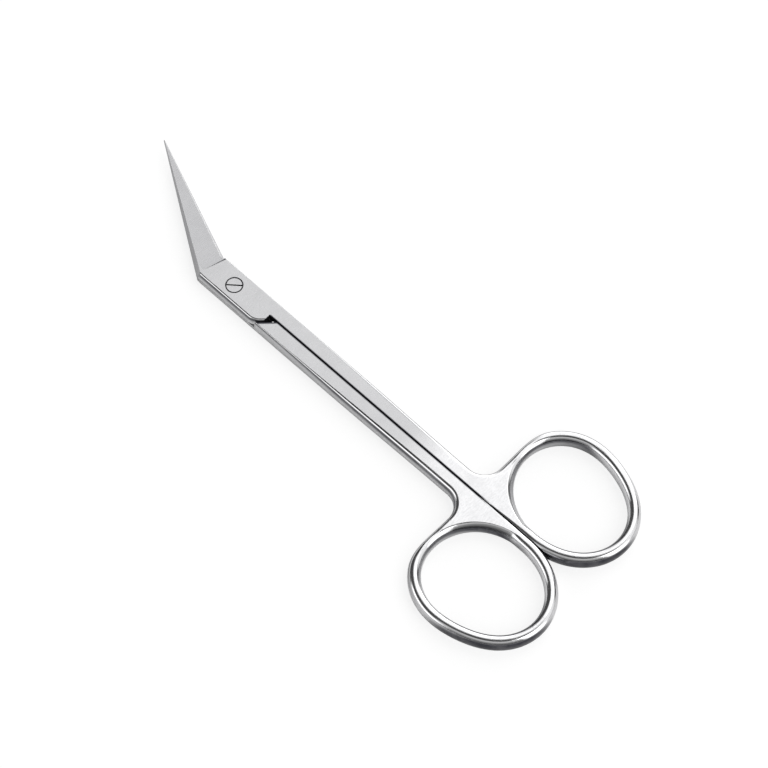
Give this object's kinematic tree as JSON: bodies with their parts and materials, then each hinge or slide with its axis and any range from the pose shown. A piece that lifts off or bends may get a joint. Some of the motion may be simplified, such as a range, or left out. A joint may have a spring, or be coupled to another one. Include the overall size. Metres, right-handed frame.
{
  "type": "angled nail scissors",
  "caption": "Slender steel nail scissors with side-bent tapering blades, a slotted pivot screw and two oval finger bows.",
  "frame": {"origin": "on the pivot axis, in the plane that the closed scissors lie on, at the centre of the pivot screw's lower end", "axes": "+Z along the pivot axis toward the screw's slotted head, +Y along the shanks toward the blades, +X toward the upper half's finger bow"},
  "size_m": [0.048, 0.1241, 0.0036],
  "materials": {
    "brushed_steel": "satin ground flats with softly polished round edges",
    "screw_steel": "satin turned"
  },
  "bodies": {
    "lower_half": {"lower_half": "brushed_steel", "pivot_screw": "screw_steel"},
    "upper_half": {"upper_half": "brushed_steel"}
  },
  "joints": [
    {"name": "pivot", "type": "hinge", "parent": "lower_half", "child": "upper_half", "pos_m": [0, 0, 0], "axis": [0, 0, 1], "range_deg": [0, 125]}
  ]
}
